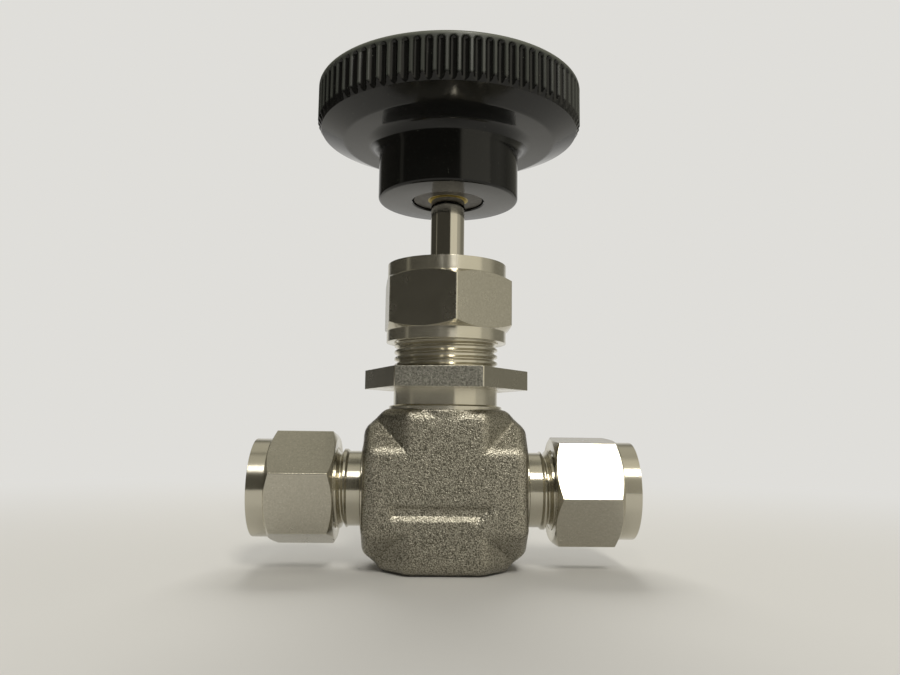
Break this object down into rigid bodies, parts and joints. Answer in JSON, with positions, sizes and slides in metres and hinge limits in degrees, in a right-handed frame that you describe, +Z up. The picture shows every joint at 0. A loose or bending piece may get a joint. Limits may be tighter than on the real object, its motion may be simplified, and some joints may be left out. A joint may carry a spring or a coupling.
{
  "type": "regulating needle valve",
  "caption": "Small inline needle valve with a forged cross-shaped body, tube-fitting nuts on both ends, packing nut, panel nut and a round fluted handle on a screwed stem.",
  "frame": {"origin": "centre of the body's flat base, directly under the stem axis", "axes": "+Z up along the stem towards the handle, +X along the flow from inlet to outlet, -Y out of the front face with the flow arrow"},
  "size_m": [0.0534, 0.0392, 0.0698],
  "materials": {
    "body_steel": "forged stainless steel, blasted, with turned bonnet and stubs",
    "nut_steel": "machined stainless steel",
    "panel_nut_steel": "sintered stainless steel, fine pores",
    "stem_steel": "polished stainless steel",
    "gland_steel": "turned stainless steel",
    "ferrule_steel": "turned stainless steel",
    "screw_steel": "black oxide steel",
    "insert_brass": "turned brass",
    "handle_black": "glossy moulded phenolic",
    "packing_white": "moulded fluoropolymer"
  },
  "bodies": {
    "fixed_body": {"valve_body": "body_steel", "packing_washer": "gland_steel", "packing_base_ring": "packing_white", "packing_vee_ring_1": "packing_white", "packing_vee_ring_2": "packing_white", "packing_top_ring": "packing_white", "packing_support": "gland_steel"},
    "stem_carriage": {"stem": "stem_steel"},
    "handle_group": {"handle": "handle_black", "handle_insert": "insert_brass", "handle_set_screw": "screw_steel"},
    "gland_carriage": {"packing_gland": "gland_steel"},
    "packing_nut_spinner": {"packing_nut": "nut_steel"},
    "panel_nut_carriage": {"panel_nut": "panel_nut_steel"},
    "inlet_ferrules": {"inlet_front_ferrule": "ferrule_steel", "inlet_back_ferrule": "ferrule_steel"},
    "inlet_nut_spinner": {"inlet_nut": "nut_steel"},
    "outlet_ferrules": {"outlet_front_ferrule": "ferrule_steel", "outlet_back_ferrule": "ferrule_steel"},
    "outlet_nut_spinner": {"outlet_nut": "nut_steel"}
  },
  "joints": [
    {"name": "stem_rise", "type": "slide", "parent": "fixed_body", "child": "stem_carriage", "axis": [0, 0, 1], "range_m": [-0.00181, 0.00272]},
    {"name": "handle_turn", "type": "hinge", "parent": "stem_carriage", "child": "handle_group", "pos_m": [0, 0, 0.06], "axis": [0, 0, 1], "range_deg": [-720, 1080]},
    {"name": "packing_gland_travel", "type": "slide", "parent": "fixed_body", "child": "gland_carriage", "axis": [0, 0, 1], "range_m": [0, 0.00684]},
    {"name": "packing_nut_turn", "type": "hinge", "parent": "gland_carriage", "child": "packing_nut_spinner", "pos_m": [0, 0, 0.038], "axis": [0, 0, 1], "range_deg": [0, 2520]},
    {"name": "panel_nut_travel", "type": "slide", "parent": "fixed_body", "child": "panel_nut_carriage", "axis": [0, 0, 1], "range_m": [0, 0.0039]},
    {"name": "inlet_ferrule_travel", "type": "slide", "parent": "fixed_body", "child": "inlet_ferrules", "axis": [-1, 0, 0], "range_m": [0, 0.00508]},
    {"name": "inlet_nut_turn", "type": "hinge", "parent": "inlet_ferrules", "child": "inlet_nut_spinner", "pos_m": [-0.02, 0, 0.0109], "axis": [-1, 0, 0], "range_deg": [0, 1440]},
    {"name": "outlet_ferrule_travel", "type": "slide", "parent": "fixed_body", "child": "outlet_ferrules", "axis": [1, 0, 0], "range_m": [0, 0.00508]},
    {"name": "outlet_nut_turn", "type": "hinge", "parent": "outlet_ferrules", "child": "outlet_nut_spinner", "pos_m": [0.02, 0, 0.0109], "axis": [1, 0, 0], "range_deg": [0, 1440]}
  ],
  "couplings": [
    {"joint": "handle_turn", "follows": "stem_rise", "rad_per_m": 6927.4},
    {"joint": "packing_nut_turn", "follows": "packing_gland_travel", "rad_per_m": 6431.1},
    {"joint": "inlet_nut_turn", "follows": "inlet_ferrule_travel", "rad_per_m": 4947.4},
    {"joint": "outlet_nut_turn", "follows": "outlet_ferrule_travel", "rad_per_m": 4947.4}
  ]
}
